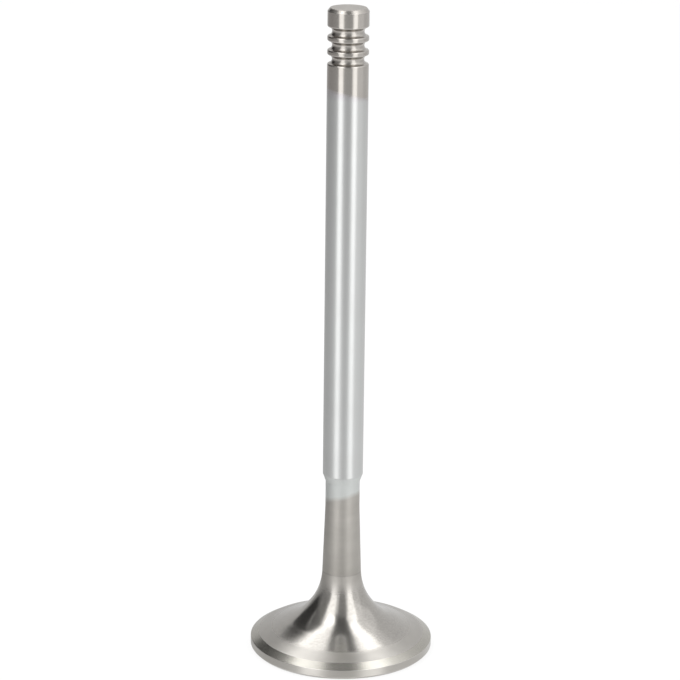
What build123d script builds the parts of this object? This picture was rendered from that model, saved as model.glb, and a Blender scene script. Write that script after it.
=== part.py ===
from build123d import *
import math
import os

# Poppet valve for a diesel engine: one forging, turned and ground all over.
# Millimetres. +Z runs up the stem and the origin is the centre of the combustion face,
# so the valve stands on its head.

# Whole valve
overall_length = 146.0      # combustion face to tip

# Head, from the combustion face up
head_d = 41.0
face_edge_chamfer = 0.55    # 45 degree break between the combustion face and the rim
rim_height = 2.2            # top of the cylindrical rim, where the seat begins
seat_angle = 30.0           # ground seat, from the plane of the head
seat_width = 2.15           # ground seat, measured along its slope
back_angle = 23.0           # turned back of the head, from the plane of the head
tulip_fillet_r = 13.5       # sweep from the back of the head into the neck

# Neck, turned below the stem so that the guide's end runs clear
neck_relief = 0.65          # depth of the neck below the ground stem
neck_parallel_length = 6.0  # straight stretch under the stem's run-out cone
neck_flare_angle = 2.0      # below it the neck opens towards the head, from the axis

# Stem, ground to run in the valve guide
stem_d = 8.96
stem_start_height = 41.25   # lower end of the ground diameter
stem_run_out_angle = 20.0   # cone between stem and neck, from the axis

# Tip and keeper grooves, from the tip down
tip_chamfer_width = 0.55
tip_chamfer_height = 0.7
keeper_groove_count = 3
keeper_groove_pitch = 3.0
first_groove_from_tip = 5.0
keeper_groove_r = 0.95
keeper_groove_depth = 1.02
keeper_groove_edge_chamfer = 0.15

# Worked out
head_r = head_d / 2
stem_r = stem_d / 2
neck_r = stem_r - neck_relief
neck_top = stem_start_height - neck_relief / math.tan(math.radians(stem_run_out_angle))
flare_top = neck_top - neck_parallel_length


def rise(run, degrees):
    """Height gained over a run, on a slope given in degrees."""
    return run * math.tan(math.radians(degrees))


def seat_inner_edge():
    """Radius and height of the ground seat's inner edge."""
    seat_run = seat_width * math.cos(math.radians(seat_angle))
    return head_r - seat_run, rim_height + rise(seat_run, seat_angle)


def tulip_corner():
    """Radius and height at which the head's back and the neck's flare would meet without the fillet."""
    seat_r, seat_height = seat_inner_edge()
    # The flare carried down to the height of the seat's inner edge, and its gap to that edge
    flare_r = neck_r + rise(flare_top - seat_height, neck_flare_angle)
    gap = seat_r - flare_r
    # Going up, the back closes on the flare and the flare draws in a little
    run = gap / (1 - rise(1, back_angle) * rise(1, neck_flare_angle))
    return seat_r - run, seat_height + rise(run, back_angle)


def blank_section():
    """Half section of the valve before its keeper grooves, with the tulip fillet."""
    corner = tulip_corner()
    outline = Polyline(
        (0, 0),
        (head_r - face_edge_chamfer, 0),
        (head_r, face_edge_chamfer),
        (head_r, rim_height),
        seat_inner_edge(),
        corner,
        (neck_r, flare_top),
        (neck_r, neck_top),
        (stem_r, stem_start_height),
        (stem_r, overall_length - tip_chamfer_height),
        (stem_r - tip_chamfer_width, overall_length),
        (0, overall_length),
        close=True,
    )
    section = make_face(outline)
    tulip_vertex = section.vertices().sort_by_distance(corner)[0]
    return fillet(tulip_vertex, tulip_fillet_r)


def keeper_groove_heights():
    """Heights of the groove centres, from the tip down."""
    first = overall_length - first_groove_from_tip
    return [first - n * keeper_groove_pitch for n in range(keeper_groove_count)]


def groove_edges(section, height, half_opening):
    """The two corners where one groove breaks the stem's surface."""
    corners = section.vertices()
    ends = (height - half_opening, height + half_opening)
    return [corners.sort_by_distance((stem_r, end))[0] for end in ends]


def valve_section():
    """Half section of the finished valve: round-bottomed keeper grooves with broken edges."""
    centre_r = stem_r - keeper_groove_depth + keeper_groove_r
    half_opening = math.sqrt(keeper_groove_r**2 - (stem_r - centre_r) ** 2)
    land = keeper_groove_pitch - 2 * half_opening
    edge_chamfer = min(keeper_groove_edge_chamfer, land / 3)
    section = blank_section()
    for height in keeper_groove_heights():
        section -= Pos(centre_r, height) * Circle(keeper_groove_r)
    edges = [edge for height in keeper_groove_heights() for edge in groove_edges(section, height, half_opening)]
    return chamfer(edges, edge_chamfer)


def make_valve():
    """The section, drawn with its height along Y, is stood up and turned about the stem's axis."""
    standing = Plane.XZ * valve_section()
    return revolve(standing, Axis.Z)


os.makedirs("parts", exist_ok=True)
export_step(make_valve(), "parts/valve.step")
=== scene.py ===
# %% [markdown]
# # An engine valve in turned and ground steel
#
# A poppet valve opens and shuts one port of an engine. The whole thing is one forging, turned on a
# lathe and ground: a flat round head with a conical seat, a tulip-shaped sweep into a slim neck, a
# long stem, and three grooves near the tip for the keepers that hold the spring. This lesson draws
# its half section with a pen, spins that round the axis as the lathe does, and finishes each zone
# the way the real one is machined.

# %% Load the frame
import math

import bmesh
import bpy
from mathutils import Matrix, Vector


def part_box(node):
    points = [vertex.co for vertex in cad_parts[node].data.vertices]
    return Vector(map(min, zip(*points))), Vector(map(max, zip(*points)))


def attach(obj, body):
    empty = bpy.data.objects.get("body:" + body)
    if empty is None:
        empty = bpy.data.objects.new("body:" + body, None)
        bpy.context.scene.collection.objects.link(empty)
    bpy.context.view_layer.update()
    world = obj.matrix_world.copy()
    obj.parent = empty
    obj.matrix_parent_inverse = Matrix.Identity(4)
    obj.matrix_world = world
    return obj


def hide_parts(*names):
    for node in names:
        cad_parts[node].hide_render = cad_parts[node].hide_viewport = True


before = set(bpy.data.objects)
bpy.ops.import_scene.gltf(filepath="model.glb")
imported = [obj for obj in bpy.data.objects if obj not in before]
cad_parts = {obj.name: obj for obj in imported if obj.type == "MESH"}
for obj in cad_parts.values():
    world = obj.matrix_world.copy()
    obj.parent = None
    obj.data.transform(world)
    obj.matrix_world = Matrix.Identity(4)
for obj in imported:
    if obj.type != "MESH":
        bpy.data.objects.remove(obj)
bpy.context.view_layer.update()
valve_low, valve_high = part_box("valve")
print("CAD box, mm:", [round(1000 * size, 2) for size in valve_high - valve_low])

# %% [markdown]
# ## Sizes
#
# The frame says how long the valve is and how wide its head is. The other sizes are those of the
# machined shape, in metres like everything in Blender. Radii are from the axis and heights are from
# the flat combustion face on which the valve stands.

# %% Sizes of the turned shape
MM = 0.001
length = valve_high.z
head_r = valve_high.x
face_edge = 0.55 * MM
rim_top = 2.2 * MM
seat_angle = math.radians(30)
seat_width = 2.15 * MM
back_angle = math.radians(23)
tulip_r = 13.5 * MM
stem_r = 4.48 * MM
stem_start = 41.25 * MM
neck_r = 3.83 * MM
neck_run_out = math.radians(20)
neck_top = stem_start - (stem_r - neck_r) / math.tan(neck_run_out)
neck_parallel = 6.0 * MM
flare_top = neck_top - neck_parallel
flare_angle = math.radians(2)
tip_edge_width = 0.55 * MM
tip_edge_height = 0.7 * MM
groove_r = 0.95 * MM
groove_depth = 1.02 * MM
groove_pitch = 3.0 * MM
groove_count = 3
tip_to_groove = 5.0 * MM
first_groove = length - tip_to_groove
groove_heights = [first_groove - n * groove_pitch for n in range(groove_count)]
print("groove centres, mm:", [round(h / MM, 2) for h in groove_heights])

# %% [markdown]
# ## A pen for the half section
#
# A lathe part is round, so half of its section says everything. The pen is one vertex: extruding
# it draws a straight line, and spinning it about a centre draws a true arc. Every real edge is
# broken by a small radius, because a perfectly sharp edge never catches the light. Next to each
# arc the straight lines get a close extra point, a guard, so that the smooth shading of the arc
# doesn't spill over a long flat stretch.

# %% The pen
GUARD = 0.04 * MM


def draw_point(bm, pen, radius, height):
    """Extrudes the pen to a new point of the section, and returns it as the new pen."""
    new = bmesh.ops.extrude_vert_indiv(bm, verts=[pen])["verts"][0]
    new.co = (radius, 0, height)
    return new


def draw_line(bm, pen, end):
    """Draws a straight line to end (radius, height), guarded near both ends."""
    start = Vector((pen.co.x, pen.co.z))
    end = Vector(end)
    run = end - start
    if run.length > 4 * GUARD:
        step = run.normalized() * GUARD
        pen = draw_point(bm, pen, *(start + step))
        pen = draw_point(bm, pen, *(end - step))
    return draw_point(bm, pen, *end)


def draw_arc(bm, pen, centre, turn, steps):
    """Spins the pen round centre (radius, height); a positive turn is clockwise, with up as up."""
    made = bmesh.ops.spin(
        bm, geom=[pen], cent=(centre[0], 0, centre[1]), axis=(0, 1, 0), angle=turn, steps=steps,
        use_duplicate=False, use_normal_flip=False, use_merge=False,
    )
    return made["geom_last"][0]


def draw_corner(bm, pen, corner, towards, radius, steps=6):
    """Draws a line up to a corner, rounds it by radius, and stops where the next line starts."""
    start = Vector((pen.co.x, pen.co.z))
    corner = Vector(corner)
    before = (corner - start).normalized()
    after = (Vector(towards) - corner).normalized()
    turn = before.angle_signed(after)
    tangent = radius * math.tan(abs(turn) / 2)
    side = Vector((before.y, -before.x)) * math.copysign(1, turn)
    arc_start = corner - before * tangent
    pen = draw_line(bm, pen, arc_start)
    return draw_arc(bm, pen, arc_start + side * radius, turn, steps)


# %% [markdown]
# ## The keeper grooves
#
# The three grooves are cut by a round-nosed tool, so each is a near half circle with its edges
# rolled over by a wheel. They could be cut out of the finished stem, but drawn into the section
# they leave the skin whole. The small edge arc touches both the stem and the groove, and that fixes
# where its centre lies.

# %% Draw one keeper groove
GROOVE_EDGE_R = 0.35 * MM
GROOVE_EDGE_STEPS = 6
GROOVE_STEPS = 26


def draw_groove(bm, pen, height):
    """Draws down the stem, over the edge, round the groove and out again."""
    groove_centre = stem_r - groove_depth + groove_r
    edge_centre = stem_r - GROOVE_EDGE_R
    reach = groove_r + GROOVE_EDGE_R
    inset = edge_centre - groove_centre
    rise = math.sqrt(reach**2 - inset**2)
    edge_turn = math.pi / 2 + math.asin(inset / reach)
    groove_turn = 2 * (math.pi - math.atan2(rise, inset))
    pen = draw_line(bm, pen, (stem_r, height + rise))
    pen = draw_arc(bm, pen, (edge_centre, height + rise), edge_turn, GROOVE_EDGE_STEPS)
    pen = draw_arc(bm, pen, (groove_centre, height), -groove_turn, GROOVE_STEPS)
    return draw_arc(bm, pen, (edge_centre, height - rise), edge_turn, GROOVE_EDGE_STEPS)


# %% [markdown]
# ## The back of the head
#
# The back of the head runs from the seat up to the tulip sweep. It is nearly a straight cone, but a
# little dished, so a reflection in it fades out softly instead of stopping at a line. The dish
# could be sculpted. It is simpler to bend the cone's line once, by a few degrees, and to round that
# bend with a long arc. Most of the bend goes into the inner part, next to the tulip.

# %% The seat and the dished back
seat_run = seat_width * math.cos(seat_angle)
seat_inner = (head_r - seat_run, rim_top + seat_run * math.tan(seat_angle))

DISH_ROUND_R = 60 * MM
DISH_TURN = math.radians(4.5)
DISH_OUTER_SHARE = 0.2
DISH_AT_R = 14.3 * MM
outer_angle = back_angle - DISH_OUTER_SHARE * DISH_TURN
inner_angle = outer_angle + DISH_TURN
dish_run = seat_inner[0] - DISH_AT_R
dish = (DISH_AT_R, seat_inner[1] + dish_run * math.tan(outer_angle))
print("slope of the back, degrees:", [round(math.degrees(a), 1) for a in (outer_angle, inner_angle)])

# %% [markdown]
# ## The section from tip to combustion face
#
# The pen starts at the centre of the tip and runs down the outside to the centre of the face. The
# tulip sweep is one large arc between the neck's flare and the back of the head. A fine V is cut
# where the turning tool for the neck stopped, just above that arc. Each corner gets the radius
# that breaks a machined edge, or twice or four times that where two slopes meet gently.

# %% The tulip's corner and the tool's cut
TOOL_LINE_HALF = 0.10 * MM
TOOL_LINE_DEPTH = 0.035 * MM
tool_line_height = 18.0 * MM


def tulip_corner():
    """Where the back of the head and the flare of the neck would meet without the sweep."""
    flare_r = neck_r + (flare_top - dish[1]) * math.tan(flare_angle)
    run = (dish[0] - flare_r) / (1 - math.tan(inner_angle) * math.tan(flare_angle))
    return dish[0] - run, dish[1] + run * math.tan(inner_angle)


def draw_tool_line(bm, pen, height):
    """Draws down the flare and cuts a shallow V where the neck's turning tool stopped."""
    for above, depth in ((TOOL_LINE_HALF, 0), (0, TOOL_LINE_DEPTH), (-TOOL_LINE_HALF, 0)):
        flare_r = neck_r + (flare_top - height - above) * math.tan(flare_angle)
        pen = draw_point(bm, pen, flare_r - depth, height + above)
    return pen


# %% Draw the section
EDGE_R = 0.12 * MM
FLARE_BEND_R = 30 * MM


def draw_section(bm):
    """Draws the whole half section. The bmesh holds it as one chain of edges."""
    tip_shoulder = (stem_r, length - tip_edge_height)
    tulip = tulip_corner()
    pen = bm.verts.new((0, 0, length))
    pen = draw_corner(bm, pen, (stem_r - tip_edge_width, length), tip_shoulder, EDGE_R)
    pen = draw_corner(bm, pen, tip_shoulder, (stem_r, first_groove), EDGE_R)
    for height in groove_heights:
        pen = draw_groove(bm, pen, height)
    pen = draw_corner(bm, pen, (stem_r, stem_start), (neck_r, neck_top), 2 * EDGE_R)
    pen = draw_corner(bm, pen, (neck_r, neck_top), (neck_r, flare_top), 4 * EDGE_R)
    pen = draw_corner(bm, pen, (neck_r, flare_top), tulip, FLARE_BEND_R, steps=8)
    pen = draw_tool_line(bm, pen, tool_line_height)
    pen = draw_corner(bm, pen, tulip, dish, tulip_r, steps=72)
    pen = draw_corner(bm, pen, dish, seat_inner, DISH_ROUND_R, steps=12)
    pen = draw_corner(bm, pen, seat_inner, (head_r, rim_top), 2 * EDGE_R)
    pen = draw_corner(bm, pen, (head_r, rim_top), (head_r, face_edge), EDGE_R)
    pen = draw_corner(bm, pen, (head_r, face_edge), (head_r - face_edge, 0), EDGE_R)
    pen = draw_corner(bm, pen, (head_r - face_edge, 0), (0, 0), EDGE_R)
    draw_line(bm, pen, (0, 0))


section = bmesh.new()
draw_section(section)
print("points in the section:", len(section.verts))

# %% [markdown]
# ## A tape along the section
#
# Tool marks run round the valve and repeat along its surface, down the stem and out over the
# head. So each point of the section stores how far along the surface it lies, as a number that
# the materials can read later. A second number says how sharply the surface turns outwards there,
# which finds the rolled edges that handling and tumbling polish first, and that get a painted
# highlight. Spinning copies both numbers to every ring.

# %% Lay the tape and mark the outward edges
along = section.verts.layers.float.new("along")
outward = section.verts.layers.float.new("outward_edge")
section.verts.ensure_lookup_table()
SHARP_TURN = 1 / EDGE_R
before = None
here = section.verts[0]
edge = here.link_edges[0]
while edge is not None:
    there = edge.other_vert(here)
    there[along] = here[along] + edge.calc_length()
    if before is not None:
        arrive = here.co - before.co
        leave = there.co - here.co
        turn_per_metre = 2 * arrive.xz.angle_signed(leave.xz) / (arrive.length + leave.length)
        here[outward] = min(1, max(0, turn_per_metre / SHARP_TURN))
    onward = [other for other in there.link_edges if other is not edge]
    before, here, edge = here, there, (onward[0] if onward else None)
print("length of the section, mm:", round(here[along] / MM, 2))
print("points on outward edges:", sum(point[outward] > 0.5 for point in section.verts))

# %% [markdown]
# ## Spin it on the lathe
#
# One full spin makes the skin. The two ends of the section lie on the axis, where all their copies
# fall together, so merging doubles closes the poles. Then the faces are turned to point outwards.

# %% Spin the section into the valve
STEPS_ROUND = 256
bmesh.ops.spin(
    section, geom=section.verts[:] + section.edges[:], cent=(0, 0, 0), axis=(0, 0, 1),
    angle=2 * math.pi, steps=STEPS_ROUND, use_merge=True, use_duplicate=False, use_normal_flip=False,
)
bmesh.ops.remove_doubles(section, verts=section.verts, dist=0.001 * MM)
bmesh.ops.recalc_face_normals(section, faces=section.faces)
for face in section.faces:
    face.smooth = True

valve_mesh = bpy.data.meshes.new("turned_valve")
valve = bpy.data.objects.new("turned_valve", valve_mesh)
bpy.context.scene.collection.objects.link(valve)
print("faces:", len(section.faces), "open edges:", sum(e.is_boundary for e in section.edges))

# %% [markdown]
# ## Node helpers
#
# A material is a small tree of nodes. These helpers add a node, feed its inputs by name and keep
# the lines short. A value may be a number, a colour or the output of another node. A ramp turns a
# stretch of one value into a stretch of another, and a swing turns noise into a push to both sides.

# %% Helpers for node trees
def feed(tree, socket, value):
    """Links an output to the socket, or writes a plain value on it."""
    if isinstance(value, bpy.types.NodeSocket):
        tree.links.new(value, socket)
    elif value is not None:
        socket.default_value = value


def add(tree, kind, inputs=None, **settings):
    """Adds one shader node, sets its options, and feeds its inputs."""
    made = tree.nodes.new("ShaderNode" + kind)
    for name, value in settings.items():
        setattr(made, name, value)
    for name, value in (inputs or {}).items():
        feed(tree, made.inputs[name], value)
    return made


def calc(tree, operation, first, second=None, clamp=False):
    """Adds a Math node for one or two values and returns its output."""
    made = add(tree, "Math", operation=operation, use_clamp=clamp)
    feed(tree, made.inputs[0], first)
    feed(tree, made.inputs[1], second)
    return made.outputs[0]


# %% Helpers that blend and stretch values
def blend_colours(tree, share, first, second):
    """Mixes two colours by a share from 0 to 1 and returns the colour."""
    made = add(tree, "Mix", data_type="RGBA")
    feed(tree, made.inputs["Factor"], share)
    feed(tree, made.inputs["A"], first)
    feed(tree, made.inputs["B"], second)
    return made.outputs["Result"]


def blend_values(tree, share, first, second):
    """Mixes two numbers by a share from 0 to 1 and returns the number."""
    made = add(tree, "Mix", data_type="FLOAT")
    feed(tree, made.inputs["Factor"], share)
    feed(tree, made.inputs["A"], first)
    feed(tree, made.inputs["B"], second)
    return made.outputs["Result"]


def ramp(tree, value, start, end, low=0.0, high=1.0):
    """Goes from low to high while the value goes from start to end, and stays there outside."""
    limits = {"From Min": start, "From Max": end, "To Min": low, "To Max": high}
    return add(tree, "MapRange", {"Value": value, **limits}).outputs["Result"]


def swing(tree, noise, size):
    """Turns noise around a half into a swing of the given size to both sides of zero."""
    return calc(tree, "MULTIPLY", calc(tree, "SUBTRACT", noise, 0.5), size)


# %% Helpers for places
def place_on(tree):
    """The place of a point on the surface, measured from the middle of the combustion face."""
    return add(tree, "TexCoord").outputs["Object"]


def split(tree, place):
    """The X, Y and Z of a place."""
    return add(tree, "SeparateXYZ", {"Vector": place}).outputs


def axis_distance(tree, apart):
    """How far the place is from the axis of the valve."""
    flat = add(tree, "CombineXYZ", {"X": apart["X"], "Y": apart["Y"]}).outputs[0]
    return add(tree, "VectorMath", {0: flat}, operation="LENGTH").outputs["Value"]


# %% Helpers for node groups
def start_group(name, inputs, outputs):
    """Makes a node group with number inputs and its outputs, and returns it and its two ends."""
    group = bpy.data.node_groups.new(name, "ShaderNodeTree")
    for label, value in inputs.items():
        socket = group.interface.new_socket(label, in_out="INPUT", socket_type="NodeSocketFloat")
        socket.default_value = value
    for label, kind in outputs.items():
        group.interface.new_socket(label, in_out="OUTPUT", socket_type="NodeSocket" + kind)
    start = group.nodes.new("NodeGroupInput")
    end = group.nodes.new("NodeGroupOutput")
    return group, start.outputs, end.inputs


def use_group(tree, group, **inputs):
    """Places a node group in a tree. Underscores in the names of its inputs stand for spaces."""
    made = tree.nodes.new("ShaderNodeGroup")
    made.node_tree = group
    for name, value in inputs.items():
        feed(tree, made.inputs[name.replace("_", " ")], value)
    return made.outputs


# %% [markdown]
# ## Tool lines
#
# Turning and grinding leave fine lines that run round the axis. Cut into the mesh they would need
# millions of faces, so they are only a height for the shader. They repeat along the surface, so
# they are noise on the tape that was laid along the section. A little of the place round the axis
# goes in as well, so that a grinding mark starts and stops while a turned line runs all the way.

# %% Build the tool lines group
tool_lines, given, wanted = start_group(
    "tool_lines",
    inputs={"Lines per mm": 4.0, "Breaks per mm": 0.0, "Contrast": 1.0},
    outputs={"Height": "Float"},
)
apart = split(tool_lines, place_on(tool_lines))
tape = add(tool_lines, "Attribute", attribute_name="along").outputs["Fac"]
lines = calc(tool_lines, "MULTIPLY", calc(tool_lines, "DIVIDE", given["Lines per mm"], MM), tape)
breaks = calc(tool_lines, "DIVIDE", given["Breaks per mm"], MM)
spread = add(tool_lines, "CombineXYZ", {
    "X": calc(tool_lines, "MULTIPLY", apart["X"], breaks),
    "Y": calc(tool_lines, "MULTIPLY", apart["Y"], breaks),
    "Z": lines,
}).outputs[0]
grain = add(tool_lines, "TexNoise", {"Vector": spread, "Scale": 1.0, "Detail": 3.0}).outputs["Fac"]
ups_and_downs = swing(tool_lines, grain, given["Contrast"])
feed(tool_lines, wanted["Height"], calc(tool_lines, "ADD", ups_and_downs, 0.5))

# %% [markdown]
# ## Mottling
#
# Handled metal is never quite even. Oil, coolant stains and the polishing belt leave soft cloudy
# patches a few millimetres wide, seen mostly in the gloss. A painted texture would have a seam
# down the stem, so the clouds are noise instead. The part turns while it is worked, so they are
# drawn out round the axis.

# %% Build the mottling group
mottling, given, wanted = start_group(
    "mottling",
    inputs={"Patch mm": 4.0, "Stretch": 2.5, "Contrast": 1.0},
    outputs={"Mask": "Float"},
)
apart = split(mottling, place_on(mottling))
tape = add(mottling, "Attribute", attribute_name="along").outputs["Fac"]
drawn_out = add(mottling, "CombineXYZ", {
    "X": calc(mottling, "DIVIDE", apart["X"], given["Stretch"]),
    "Y": calc(mottling, "DIVIDE", apart["Y"], given["Stretch"]),
    "Z": tape,
}).outputs[0]
scale = calc(mottling, "DIVIDE", 1 / MM, given["Patch mm"])
clouds = add(mottling, "TexNoise", {"Vector": drawn_out, "Scale": scale, "Detail": 2.0}).outputs["Fac"]
light_and_dark = swing(mottling, clouds, given["Contrast"])
feed(mottling, wanted["Mask"], calc(mottling, "ADD", light_and_dark, 0.5, clamp=True))

# %% [markdown]
# ## The edge of the plating
#
# Hard chrome covers the part of the stem that slides in the guide. It ends a little below the
# grooves and a little below the start of the neck, where the stem was dipped or masked, so each
# end is a slightly tilted, slightly wavy line. It could be a cut in the mesh with a finish on each
# side, but a plane with a bit of noise draws it softly, and its tilt is two numbers.

# %% Build the plating edge group
plating_edge, given, wanted = start_group(
    "plating_edge",
    inputs={"Height mm": 100.0, "Tilt X": 0.0, "Tilt Y": 0.0, "Wave mm": 0.4, "Soft mm": 0.4},
    outputs={"Above": "Float"},
)
place = place_on(plating_edge)
apart = split(plating_edge, place)
height = calc(plating_edge, "DIVIDE", apart["Z"], MM)
tilt_x = calc(plating_edge, "MULTIPLY", calc(plating_edge, "DIVIDE", apart["X"], MM), given["Tilt X"])
tilt_y = calc(plating_edge, "MULTIPLY", calc(plating_edge, "DIVIDE", apart["Y"], MM), given["Tilt Y"])
plane = calc(plating_edge, "ADD", given["Height mm"], calc(plating_edge, "ADD", tilt_x, tilt_y))
waves = add(plating_edge, "TexNoise", {"Vector": place, "Scale": 0.35 / MM, "Detail": 4.0})
wander = swing(plating_edge, waves.outputs["Fac"], given["Wave mm"])
above = calc(plating_edge, "ADD", calc(plating_edge, "SUBTRACT", height, plane), wander)
softened = calc(plating_edge, "DIVIDE", above, given["Soft mm"])
feed(plating_edge, wanted["Above"], calc(plating_edge, "ADD", softened, 0.5, clamp=True))

# %% [markdown]
# ## Worn edges with a painted highlight
#
# The edges of the grooves and the head are rolled over by tumbling. Their colour is made a little
# brighter than the faces beside them, partly for that wear and partly as a painted highlight, and
# not evenly so. Nobody has to pick them out, because the number that was stored along the section
# finds them, and noise makes them uneven.

# %% Build the worn and highlit edges group
worn_highlit_edges, given, wanted = start_group(
    "worn_highlit_edges", inputs={"Amount": 1.0}, outputs={"Mask": "Float"}
)
turned_out = add(worn_highlit_edges, "Attribute", attribute_name="outward_edge").outputs["Fac"]
place = place_on(worn_highlit_edges)
chips = add(worn_highlit_edges, "TexNoise", {"Vector": place, "Scale": 0.8 / MM, "Detail": 3.0})
uneven = ramp(worn_highlit_edges, chips.outputs["Fac"], 0.3, 0.6, low=0.3)
# The brighter colour that this mask brings is wear and a painted highlight together.
worn = calc(worn_highlit_edges, "MULTIPLY", turned_out, uneven)
feed(worn_highlit_edges, wanted["Mask"], calc(worn_highlit_edges, "MULTIPLY", worn, given["Amount"], clamp=True))

# %% [markdown]
# ## Hard chrome
#
# The plating is a few hundredths of a millimetre thick. Where it slides in the guide it is ground
# after plating, so it is even and smooth, only a little duller towards the neck. Where it runs out
# over the neck nobody grinds it, and it keeps the pale, frosted look of fresh plating. A second skin
# would be too thin to see, so it is a finish. Both ends of the plated stem use this group.

# %% Build the hard chrome group
CHROME = (0.555, 0.565, 0.56, 1)
CHROME_DULL = (0.53, 0.535, 0.53, 1)
FROSTED = (0.685, 0.70, 0.69, 1)
CHROME_TOP_MM = 125.0
CHROME_FOOT_MM = 42.0
GROUND_FADE_MM = 0.3
hard_chrome, given, wanted = start_group(
    "hard_chrome",
    inputs={"Ground above mm": 41.0},
    outputs={"Colour": "Color", "Roughness": "Float", "Height": "Float"},
)
patches = use_group(hard_chrome, mottling, Patch_mm=6.0, Contrast=1.2)["Mask"]
fine = use_group(hard_chrome, tool_lines, Lines_per_mm=5.0, Breaks_per_mm=0.5, Contrast=0.8)["Height"]
apart = split(hard_chrome, place_on(hard_chrome))
height = calc(hard_chrome, "DIVIDE", apart["Z"], MM)
over = calc(hard_chrome, "SUBTRACT", height, given["Ground above mm"])
ground = calc(hard_chrome, "ADD", calc(hard_chrome, "DIVIDE", over, GROUND_FADE_MM), 0.5, clamp=True)
polished = blend_colours(hard_chrome, patches, CHROME, CHROME_DULL)
feed(hard_chrome, wanted["Colour"], blend_colours(hard_chrome, ground, FROSTED, polished))
smooth = blend_values(hard_chrome, patches, 0.33, 0.36)
duller = ramp(hard_chrome, height, CHROME_TOP_MM, CHROME_FOOT_MM, high=0.07)
smooth = calc(hard_chrome, "ADD", smooth, duller)
feed(hard_chrome, wanted["Roughness"], blend_values(hard_chrome, ground, 0.80, smooth))
feed(hard_chrome, wanted["Height"], fine)

# %% [markdown]
# ## The cut where the tool stopped
#
# The fine cut between the neck and the sweep is painted darker, so it looks like a thin grey line.
# It lies half in one finish and half in the other, so both use this group. The mask is strongest at
# the height of the cut and gone a quarter of a millimetre above and below it.

# %% Build the tool cut group
tool_cut, given, wanted = start_group(
    "tool_cut", inputs={"Half width mm": 0.25}, outputs={"Mask": "Float"}
)
apart = split(tool_cut, place_on(tool_cut))
off = calc(tool_cut, "ABSOLUTE", calc(tool_cut, "SUBTRACT", apart["Z"], tool_line_height))
off_mm = calc(tool_cut, "DIVIDE", off, MM)
share = calc(tool_cut, "DIVIDE", off_mm, given["Half width mm"])
feed(tool_cut, wanted["Mask"], calc(tool_cut, "SUBTRACT", 1.0, share, clamp=True))

# %% [markdown]
# ## Machined metal
#
# Every finish on the valve starts from the same shader. The fine grooves of a turned or ground
# face spread light across the grooves far more than along them, which the shader calls
# anisotropic. The tangent runs round the axis, and a quarter turn of it lets highlights stretch
# along the stem, as they do on the real thing. The bump node turns a height into tiny slopes. Fine
# marks are a thousandth or two of a millimetre deep, and the coarser ones of the head twice that.

# %% Start and finish a machined metal
QUARTER_TURN = 0.25
FINE_MARKS = 0.0015 * MM
DEEP_MARKS = 0.003 * MM


def start_metal(name, anisotropic):
    """Makes a material with a metal shader, and returns it with its tree and its shader."""
    material = bpy.data.materials.new(name)
    material.use_nodes = True
    tree = material.node_tree
    shader = tree.nodes["Principled BSDF"]
    shader.inputs["Metallic"].default_value = 1
    shader.inputs["Anisotropic"].default_value = anisotropic
    shader.inputs["Anisotropic Rotation"].default_value = QUARTER_TURN
    tangent = add(tree, "Tangent", direction_type="RADIAL", axis="Z")
    feed(tree, shader.inputs["Tangent"], tangent.outputs[0])
    return material, tree, shader


def finish_metal(tree, shader, colour, roughness, height, depth):
    """Wires colour, roughness and a bump of the given depth in metres into the shader."""
    feed(tree, shader.inputs["Base Color"], colour)
    feed(tree, shader.inputs["Roughness"], roughness)
    bump = add(tree, "Bump", {"Height": height, "Strength": 1.0, "Distance": depth})
    feed(tree, shader.inputs["Normal"], bump.outputs["Normal"])
    print("nodes in this finish:", len(tree.nodes))


# %% [markdown]
# ## The ground end of the stem
#
# The grooves and the first stretch of stem are bare steel, ground to size. The steel is warmer and
# darker than the chrome that starts below it, and on its left side painted shade makes it darker
# still, with a brown tint. The grooves can't be ground, so they are slightly duller inside. Between
# steel and chrome lies a narrow band where the chrome is thin and looks a faint violet grey. Each of
# these is a mask, and each mask blends one more colour or gloss over the last.

# %% Colours of the ground end
STEEL = (0.46, 0.438, 0.412, 1)
STEEL_DULL = (0.42, 0.398, 0.37, 1)
STEEL_EDGE_HIGHLIGHT = (0.58, 0.56, 0.54, 1)
# Painted shade with a brown tint, for the left side of the bare steel.
STEEL_SHADED_BROWN = (0.40, 0.37, 0.345, 1)
FILMED = (0.495, 0.478, 0.49, 1)

# %% Finish the ground end
SIDE_SHADE_FROM_X = -1.5 * MM
SIDE_SHADE_FULL_X = -3.5 * MM

ground_stem, tree, shader = start_metal("ground_stem", anisotropic=0.5)
patches = use_group(tree, mottling, Patch_mm=3.0, Contrast=1.5)["Mask"]
rings = use_group(tree, tool_lines, Lines_per_mm=4.0, Breaks_per_mm=0.6, Contrast=1.2)["Height"]
edges = use_group(tree, worn_highlit_edges, Amount=0.5)["Mask"]
apart = split(tree, place_on(tree))
# Painted shade: the bare steel gets darker and browner towards -X, the left side, with random patches
# mixed in.
shaded_side = ramp(tree, apart["X"], SIDE_SHADE_FROM_X, SIDE_SHADE_FULL_X)
shade_and_brown = calc(tree, "ADD", shaded_side, swing(tree, patches, 0.4), clamp=True)
bare = blend_colours(tree, patches, STEEL, STEEL_DULL)
bare = blend_colours(tree, shade_and_brown, bare, STEEL_SHADED_BROWN)
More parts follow.
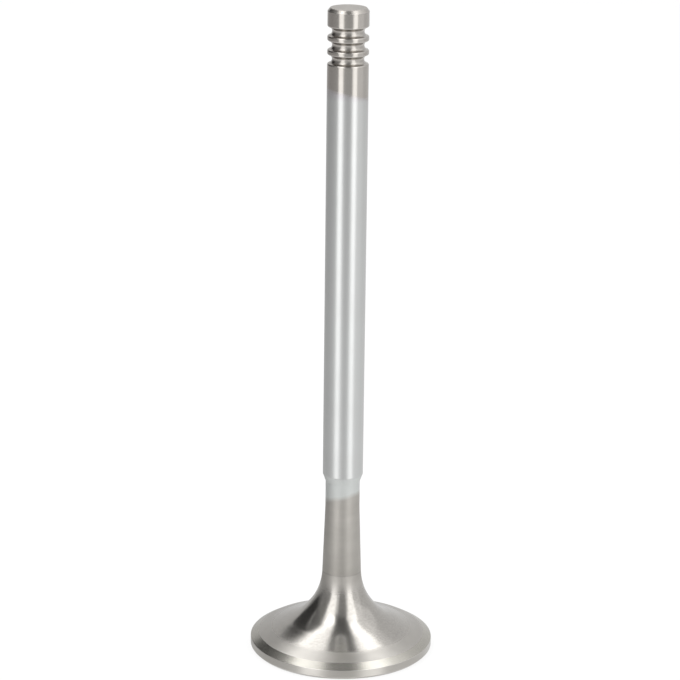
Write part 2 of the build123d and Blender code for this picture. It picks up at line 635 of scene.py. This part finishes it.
# Outward edges get a brighter colour: wear and a painted highlight.
bare = blend_colours(tree, edges, bare, STEEL_EDGE_HIGHLIGHT)
grooved = ramp(tree, axis_distance(tree, apart), stem_r - 0.1 * MM, stem_r - 0.4 * MM)
bare_roughness = blend_values(tree, patches, 0.21, 0.24)
bare_roughness = blend_values(tree, edges, bare_roughness, 0.24)
bare_roughness = blend_values(tree, grooved, bare_roughness, 0.25)
chrome = use_group(tree, hard_chrome)
unplated = use_group(tree, plating_edge, Height_mm=127.47, Tilt_X=-0.232, Tilt_Y=-0.083,
                     Soft_mm=1.0)["Above"]
film = use_group(tree, plating_edge, Height_mm=126.53, Tilt_X=-0.085, Tilt_Y=-0.106,
                 Wave_mm=0.8, Soft_mm=1.4)["Above"]
plated = blend_colours(tree, film, chrome["Colour"], FILMED)
finish_metal(
    tree, shader, depth=FINE_MARKS,
    colour=blend_colours(tree, unplated, plated, bare),
    roughness=blend_values(tree, unplated, chrome["Roughness"], bare_roughness),
    height=blend_values(tree, unplated, chrome["Height"], rings),
)

# %% [markdown]
# ## Satin steel
#
# The neck is left as turned and blasted: a satin grey with a wide, soft shine. The top of the sweep
# has the same finish, because the polishing belt doesn't reach it, and so has the land next to the
# seat, with more shine. So the satin is a group of its own, with the extra shine as its input.

# %% Build the satin steel group
SATIN = (0.475, 0.458, 0.43, 1)
SATIN_DULL = (0.43, 0.413, 0.385, 1)
satin_steel, given, wanted = start_group(
    "satin_steel", inputs={"Shine": 0.0},
    outputs={"Colour": "Color", "Roughness": "Float", "Height": "Float"},
)
patches = use_group(satin_steel, mottling, Patch_mm=2.5, Contrast=1.6)["Mask"]
rings = use_group(satin_steel, tool_lines, Lines_per_mm=3.0, Breaks_per_mm=0.2, Contrast=1.6)["Height"]
feed(satin_steel, wanted["Colour"], blend_colours(satin_steel, patches, SATIN, SATIN_DULL))
feed(satin_steel, wanted["Height"], rings)
rough = blend_values(satin_steel, patches, 0.57, 0.63)
feed(satin_steel, wanted["Roughness"], calc(satin_steel, "SUBTRACT", rough, given["Shine"]))

# %% [markdown]
# ## The neck
#
# The chrome ends part way down the neck, on a tilted line again, and the satin starts there. At its
# foot the neck ends in the cut that the tool left.

# %% Finish the neck
CUT_DARK = (0.20, 0.19, 0.18, 1)
CUT_DARKENING = 0.3

turned_neck, tree, shader = start_metal("turned_neck", anisotropic=0.5)
satin = use_group(tree, satin_steel)
chrome = use_group(tree, hard_chrome)
plated = use_group(tree, plating_edge, Height_mm=35.92, Tilt_X=0.261, Tilt_Y=-0.160,
                   Wave_mm=0.8, Soft_mm=1.2)["Above"]
# The cut is painted darker in the colour.
cut = calc(tree, "MULTIPLY", use_group(tree, tool_cut)["Mask"], CUT_DARKENING)
colour = blend_colours(tree, plated, satin["Colour"], chrome["Colour"])
finish_metal(
    tree, shader, depth=FINE_MARKS,
    colour=blend_colours(tree, cut, colour, CUT_DARK),
    roughness=blend_values(tree, plated, satin["Roughness"], chrome["Roughness"]),
    height=blend_values(tree, plated, satin["Height"], chrome["Height"]),
)

# %% [markdown]
# ## The polished sweep
#
# Gas flows over the sweep and the back of the head, so they are polished with a belt that runs
# round the axis. The belt starts a little below the neck's tool line and stops a few millimetres
# short of the seat, and fades out at both ends. Two soft limits on the surface, one in height and
# one in radius, say where it worked, and together they are one mask. Two separate finishes on the
# mesh would meet at a hard line, which no belt leaves.

# %% Where the belt worked
BELT_TOP = 16.6 * MM
BELT_FULL_BELOW = 13.6 * MM
BELT_OUTER_R = 16.1 * MM
BELT_FULL_R = 15.1 * MM

polished_sweep, tree, shader = start_metal("polished_sweep", anisotropic=0.4)
apart = split(tree, place_on(tree))
from_axis = axis_distance(tree, apart)
patches = use_group(tree, mottling, Patch_mm=2.0, Stretch=4.0, Contrast=1.2)["Mask"]
wander = swing(tree, patches, 0.5 * MM)
below_neck = ramp(tree, apart["Z"], BELT_TOP, BELT_FULL_BELOW)
inside_seat = ramp(tree, calc(tree, "ADD", from_axis, wander), BELT_OUTER_R, BELT_FULL_R)
belt = calc(tree, "MULTIPLY", below_neck, inside_seat)

# %% [markdown]
# ## The belt's finish and the land beside it
#
# Where the belt worked, the steel is smooth, with cloudy patches full of fine dark grains. The land
# that it left, next to the seat, keeps coarse rings and soft blotches, and shines more than the
# satin up at the neck. Both take their colours from the same pair, so that the border shows in the
# gloss more than in the colour, as on the real one.

# %% Finish the sweep and the back of the head
SWEEP = (0.465, 0.447, 0.42, 1)
SWEEP_DULL = (0.385, 0.37, 0.346, 1)
LAND_SHINE = 0.28

grains = use_group(tree, mottling, Patch_mm=0.45, Stretch=1.5, Contrast=3.0)["Mask"]
polished = blend_colours(tree, calc(tree, "MULTIPLY", patches, grains), SWEEP, SWEEP_DULL)
polished_roughness = blend_values(tree, patches, 0.17, 0.21)
rings = use_group(tree, tool_lines, Lines_per_mm=2.5, Breaks_per_mm=0.1, Contrast=1.5)["Height"]
blotches = use_group(tree, mottling, Patch_mm=2.5, Stretch=1.5, Contrast=2.5)["Mask"]
land = blend_colours(tree, calc(tree, "MULTIPLY", blotches, 0.4), SWEEP, SWEEP_DULL)
shine = ramp(tree, from_axis, 5 * MM, 14 * MM, high=LAND_SHINE)
satin = use_group(tree, satin_steel, Shine=shine)
land_rings = use_group(tree, tool_lines, Lines_per_mm=0.9, Contrast=5.0)["Height"]
# The cut is painted darker in the colour.
cut = calc(tree, "MULTIPLY", use_group(tree, tool_cut)["Mask"], CUT_DARKENING)
finish_metal(
    tree, shader, depth=DEEP_MARKS,
    colour=blend_colours(tree, cut, blend_colours(tree, belt, land, polished), CUT_DARK),
    roughness=blend_values(tree, belt, satin["Roughness"], polished_roughness),
    height=blend_values(tree, belt, land_rings, rings),
)

# %% [markdown]
# ## The ground seat
#
# The seat seals the port, so it is the finest ground face on the valve. Its marks are close and
# even, and only its two edges are brighter, from wear and from a painted highlight.

# %% Finish the seat
SEAT = (0.475, 0.46, 0.42, 1)
SEAT_DULL = (0.435, 0.42, 0.383, 1)

ground_seat, tree, shader = start_metal("ground_seat", anisotropic=0.4)
patches = use_group(tree, mottling, Patch_mm=2.5, Contrast=1.4)["Mask"]
rings = use_group(tree, tool_lines, Lines_per_mm=5.0, Breaks_per_mm=0.2, Contrast=1.2)["Height"]
edges = use_group(tree, worn_highlit_edges, Amount=0.6)["Mask"]
colour = blend_colours(tree, patches, SEAT, SEAT_DULL)
finish_metal(
    tree, shader, depth=DEEP_MARKS,
    # The seat's edges get a brighter colour: wear and a painted highlight.
    colour=blend_colours(tree, edges, colour, STEEL_EDGE_HIGHLIGHT),
    roughness=blend_values(tree, patches, 0.24, 0.28),
    height=rings,
)

# %% [markdown]
# ## The turned rim and face
#
# The rim and the combustion face are plain turned steel. On the face the tool's feed leaves rings
# like those on a record. The tape along the section turns the corner of the rim with the skin, so
# one pattern of lines serves both.

# %% Finish the rim and the face
RIM = (0.45, 0.434, 0.407, 1)
RIM_DULL = (0.41, 0.394, 0.367, 1)

turned_rim, tree, shader = start_metal("turned_rim", anisotropic=0.5)
patches = use_group(tree, mottling, Patch_mm=3.0, Contrast=1.5)["Mask"]
rings = use_group(tree, tool_lines, Lines_per_mm=3.0, Breaks_per_mm=0.0, Contrast=1.6)["Height"]
edges = use_group(tree, worn_highlit_edges, Amount=0.6)["Mask"]
colour = blend_colours(tree, patches, RIM, RIM_DULL)
finish_metal(
    tree, shader, depth=DEEP_MARKS,
    # The rim's edges get a brighter colour: wear and a painted highlight.
    colour=blend_colours(tree, edges, colour, STEEL_EDGE_HIGHLIGHT),
    roughness=blend_values(tree, patches, 0.31, 0.36),
    height=rings,
)

# %% [markdown]
# ## The hardened tip
#
# The rocker presses on the tip, so it is hardened and ground flat across the end. The chamfer
# round it is turned, and smoother than the ground end, so the height decides the gloss.

# %% Finish the tip
ground_tip, tree, shader = start_metal("ground_tip", anisotropic=0.3)
patches = use_group(tree, mottling, Patch_mm=2.0, Contrast=1.6)["Mask"]
rings = use_group(tree, tool_lines, Lines_per_mm=4.0, Breaks_per_mm=1.5, Contrast=1.2)["Height"]
apart = split(tree, place_on(tree))
on_top = ramp(tree, apart["Z"], length - 0.25 * MM, length - 0.05 * MM)
finish_metal(
    tree, shader, depth=FINE_MARKS,
    colour=blend_colours(tree, patches, STEEL, STEEL_DULL),
    roughness=blend_values(tree, on_top, 0.32, blend_values(tree, patches, 0.42, 0.48)),
    height=rings,
)

# %% [markdown]
# ## Give each zone its finish
#
# The mesh has one slot for each finish. A face's height and radius say which zone it belongs to.
# The stem's finish and the neck's are both plain chrome half way up, so they meet there unseen.

# %% Assign the finishes
CHROME_MIDDLE = 80 * MM
finishes = [ground_stem, turned_neck, polished_sweep, ground_seat, turned_rim, ground_tip]
for material in finishes:
    valve_mesh.materials.append(material)


def finish_for(centre):
    """The finish of a face, from its centre."""
    radius = centre.xy.length
    if centre.z > length - tip_edge_height:
        return ground_tip
    if centre.z > CHROME_MIDDLE:
        return ground_stem
    if centre.z > tool_line_height:
        return turned_neck
    if centre.z > rim_top and radius < seat_inner[0]:
        return polished_sweep
    if centre.z > rim_top:
        return ground_seat
    return turned_rim


for face in section.faces:
    face.material_index = finishes.index(finish_for(face.calc_center_median()))
section.to_mesh(valve_mesh)
section.free()
valve_mesh.calc_loop_triangles()
print("triangles:", len(valve_mesh.loop_triangles))

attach(valve, "root")
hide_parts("valve")

# %% [markdown]
# ## The floor
#
# A polished valve shows the whole room in its skin, so the room is designed as carefully as the
# metal. A studio stands such a part on a sheet of clear glass over white, so that the metal mirrors
# the soft boxes down to below the table. The floor here does the same: it is white, it takes a soft
# shadow at the rim, and the metal looks straight through it into the white room.

# %% Make the floor
FLOOR_R = 1.5
FLOOR_GAP = 0.02 * MM
WHITE = (1, 1, 1, 1)
FLOOR_WHITE = (0.95, 0.95, 0.95, 1)
FLOOR_GLOW = 0.85

floor_mesh = bpy.data.meshes.new("floor")
floor = bpy.data.objects.new("floor", floor_mesh)
bpy.context.scene.collection.objects.link(floor)
disc = bmesh.new()
bmesh.ops.create_circle(disc, cap_ends=True, segments=96, radius=FLOOR_R,
                        matrix=Matrix.Translation((0, 0, -FLOOR_GAP)))
disc.to_mesh(floor_mesh)
disc.free()
floor.visible_glossy = False

white_floor = bpy.data.materials.new("white_floor")
white_floor.use_nodes = True
tree = white_floor.node_tree
shader = tree.nodes["Principled BSDF"]
shader.inputs["Base Color"].default_value = FLOOR_WHITE
shader.inputs["Roughness"].default_value = 0.8
shader.inputs["Specular IOR Level"].default_value = 0
glow = add(tree, "Emission", {"Color": WHITE, "Strength": 1.0})
seen = add(tree, "LightPath").outputs
share = calc(tree, "MULTIPLY", seen["Is Camera Ray"], FLOOR_GLOW)
mixed = add(tree, "MixShader", {"Fac": share})
feed(tree, mixed.inputs[1], shader.outputs[0])
feed(tree, mixed.inputs[2], glow.outputs[0])
feed(tree, tree.nodes["Material Output"].inputs["Surface"], mixed.outputs[0])
floor_mesh.materials.append(white_floor)
print("floor across, m:", 2 * FLOOR_R)

# %% [markdown]
# ## The white room
#
# The world is white wherever it is seen directly or in the metal, and dimmer where it only lights
# things, because the lamps add their own share.

# %% Light the world
WORLD_LIGHT = 0.8
world = bpy.data.worlds.new("white_room")
bpy.context.scene.world = world
world.use_nodes = True
tree = world.node_tree
seen = add(tree, "LightPath").outputs
direct = calc(tree, "MAXIMUM", seen["Is Camera Ray"], seen["Is Glossy Ray"])
direct = calc(tree, "MAXIMUM", direct, seen["Is Transmission Ray"])
sky = tree.nodes["Background"]
feed(tree, sky.inputs["Color"], WHITE)
feed(tree, sky.inputs["Strength"], blend_values(tree, direct, WORLD_LIGHT, 1.0))

# %% [markdown]
# ## Places in the room
#
# A polished shape sees only directions, so the lamps and boards are placed by direction: azimuth
# 0 is towards the camera and 90 to its right, and elevation 0 is level. A panel is square to its
# direction and about a metre away, and may be rolled. A panel overhead faces straight down, and
# is slid to its place sideways and away from the camera.

# %% Directions and panels
ROOM_R = 1.0
UP = Vector((0, 0, 1))
BACK = Vector((0, 1, 0))


def direction(azimuth, elevation):
    """A unit vector from an azimuth and an elevation in degrees."""
    a = math.radians(azimuth)
    e = math.radians(elevation)
    return Vector((math.sin(a) * math.cos(e), -math.cos(a) * math.cos(e), math.sin(e)))


def panel_place(facing, roll, slide=(0, 0), upright=UP):
    """Places a panel square to a direction, rolled in degrees, and slid along its two sides."""
    long_side = (upright - facing * upright.dot(facing)).normalized()
    short_side = long_side.cross(facing)
    centre = ROOM_R * (facing + slide[0] * short_side + slide[1] * long_side)
    turned = Matrix((short_side, long_side, facing)).transposed().to_4x4()
    return Matrix.Translation(centre) @ turned @ Matrix.Rotation(math.radians(-roll), 4, "Z")


def at(azimuth, elevation, roll=0):
    """A panel in a direction."""
    return panel_place(direction(azimuth, elevation), roll)


def overhead(across, back, roll=0):
    """A panel overhead."""
    return panel_place(UP, roll, (across, back), BACK)


# %% [markdown]
# ## Soft boxes
#
# On each side of the camera stand a low soft box and a tall one that leans over the valve, and a
# long one hangs overhead. Together they draw the two bright streaks down the stem and over the
# sweep. A weak one fills the right side. A lamp's power is its brightness times pi times its
# area, so it is the brightness that is written here.

# %% Place the soft boxes
def soft_box(name, place, width, height, brightness):
    """Hangs a rectangular lamp that shines along its own -Z."""
    lamp = bpy.data.lights.new(name, "AREA")
    lamp.shape = "RECTANGLE"
    lamp.size = width
    lamp.size_y = height
    lamp.energy = brightness * math.pi * width * height
    holder = bpy.data.objects.new(name, lamp)
    holder.matrix_world = place
    holder.visible_camera = False
    bpy.context.scene.collection.objects.link(holder)
    print(name, "power, W:", round(lamp.energy, 2))


soft_box("low_box_left", at(-37.4, -13.0, roll=-5), width=0.44, height=0.88, brightness=1.12)
soft_box("low_box_right", at(39.7, -13.0), width=0.47, height=0.88, brightness=1.13)
soft_box("tall_box_left", at(-42.8, 42, roll=-21), width=0.48, height=1.10, brightness=1.20)
soft_box("tall_box_right", at(45.6, 36.6, roll=9), width=0.45, height=0.94, brightness=1.25)
soft_box("overhead_box_left", overhead(-0.338, 0.20, roll=8), width=0.35, height=1.5, brightness=2.00)
soft_box("overhead_box_right", overhead(0.352, 0.154, roll=-9.6),
         width=0.29, height=0.92, brightness=1.98)
soft_box("fill_box_right", at(92.6, 44), width=1.0, height=0.7, brightness=0.28)

# %% [markdown]
# ## Boards
#
# Grey and black boards take light away again, and show only in the metal. A real board would need
# its own light. Here each one shines evenly with its own grey, and some get darker from foot to
# head.

# %% Helpers for boards
BOARD_CORNERS = 64


def board_material(name, foot, head, tone, top_tone):
    """A board that runs from tone at the height foot to top_tone at head, where 1 is white."""
    material = bpy.data.materials.new(name)
    material.use_nodes = True
    tree = material.node_tree
    tree.nodes.remove(tree.nodes["Principled BSDF"])
    apart = split(tree, place_on(tree))
    share = ramp(tree, apart["Z"], foot, head)
    grey = blend_colours(tree, share, (tone, tone, tone, 1), (top_tone, top_tone, top_tone, 1))
    glow = add(tree, "Emission", {"Color": grey, "Strength": 1.0})
    feed(tree, tree.nodes["Material Output"].inputs["Surface"], glow.outputs[0])
    return material


def board(name, place, width, height, distance, tone, top_tone=None, round_edge=False):
    """Stands a flat board a little further out than the lamps. Only the metal sees it."""
    mesh = bpy.data.meshes.new(name)
    piece = bpy.data.objects.new(name, mesh)
    panel = bmesh.new()
    if round_edge:
        bmesh.ops.create_circle(panel, cap_ends=True, segments=BOARD_CORNERS, radius=0.5)
    else:
        bmesh.ops.create_grid(panel, x_segments=1, y_segments=1, size=0.5)
    bmesh.ops.scale(panel, verts=panel.verts, vec=(width, height, 1))
    bmesh.ops.transform(panel, verts=panel.verts, matrix=Matrix.Scale(distance, 4) @ place)
    heights = [corner.co.z for corner in panel.verts]
    panel.to_mesh(mesh)
    panel.free()
    top_tone = tone if top_tone is None else top_tone
    mesh.materials.append(board_material(name, min(heights), max(heights) + MM, tone, top_tone))
    bpy.context.scene.collection.objects.link(piece)
    piece.visible_camera = False
    piece.visible_diffuse = False
    piece.visible_shadow = False
    print(name, "grey:", tone, "to", top_tone)


# %% [markdown]
# ## The gap round the camera
#
# The camera stands in a grey gap between the front boxes, and that gap runs on over the ceiling.
# It draws the calm middle of the stem between its two bright streaks.

# %% Place the boards of the gap
board("camera_gap_low", at(6.2, -6.0),
      width=1.0, height=0.48, distance=1.28, tone=0.64, top_tone=0.52)
board("camera_gap_high", at(5.1, 24.8),
      width=0.49, height=1.35, distance=1.30, tone=0.53, top_tone=0.32)
board("ceiling_gap", overhead(-0.056, 0.02), width=0.61, height=1.45, distance=1.32, tone=0.14)

# %% [markdown]
# ## The flags and the left walls
#
# A black flag with a grey one behind it puts the dark patch in the back of the head that makes it
# look round. The flag is an oval, so that the patch has a round outline, and a light slit in front
# of it splits the patch in two. Grey walls on the left carry the patch over into the bright foot of
# the room.

# %% Place the flags and the left walls
board("left_wall_high", at(-85.1, 32.5, roll=-10.8),
      width=0.65, height=1.35, distance=1.25, tone=0.33)
board("black_flag", at(-126.3, 28.5, roll=-15),
      width=0.74, height=0.92, distance=1.12, tone=0.055, round_edge=True)
board("grey_flag", at(-113, 32.5, roll=6), width=0.60, height=1.04, distance=1.18, tone=0.22)
board("flag_slit", at(-114.2, 41, roll=-37), width=0.07, height=0.45, distance=1.08, tone=0.50)
board("left_wall_front", at(-69.1, 9.0),
      width=0.58, height=0.80, distance=1.34, tone=0.52, top_tone=0.40)
board("left_wall_back", at(-117.3, 1),
      width=1.4, height=0.80, distance=1.36, tone=0.74, top_tone=0.10)
board("left_wall_foot", at(-110, -35), width=1.3, height=0.32, distance=1.40, tone=0.80)

# %% [markdown]
# ## The right and back walls
#
# The right side and the back of the room are nearly white. Three pale boards there keep the far
# sides of the valve from fading into the background.

# %% Place the right and back walls
board("right_wall", at(122.9, 17, roll=4.2), width=1.2, height=1.18, distance=1.30, tone=0.80)
board("back_wall_left", at(-168, -2), width=0.80, height=1.30, distance=1.42, tone=0.70)
board("back_wall_right", at(165, 8), width=0.75, height=0.90, distance=1.40, tone=0.82)

# %% [markdown]
# ## The camera
#
# A long lens from a little above, so the stem stays nearly parallel and the head shows its back.
# The focal length is easiest to say in pixels of the square picture, and the sensor's width turns
# it into millimetres.

# %% Set up the camera
PICTURE = 680
FOCUS_PIXELS = 2671.1
CAMERA_AWAY = 562.23 * MM
CAMERA_UP = 244.53 * MM

scene = bpy.context.scene
scene.view_settings.view_transform = "Standard"
lens = bpy.data.cameras.new("camera")
lens.sensor_width = 36
lens.lens = FOCUS_PIXELS * lens.sensor_width / PICTURE
camera = bpy.data.objects.new("camera", lens)
yaw = math.radians(-0.101)
pitch = math.radians(17.039)
roll = math.radians(0.691)
turned = (
    Matrix.Rotation(-yaw, 4, "Z")
    @ Matrix.Rotation(math.pi / 2 - pitch, 4, "X")
    @ Matrix.Rotation(roll, 4, "Z")
)
camera.matrix_world = Matrix.Translation((0, -CAMERA_AWAY, CAMERA_UP)) @ turned
scene.collection.objects.link(camera)
scene.camera = camera
print("lens, mm:", round(lens.lens, 2))
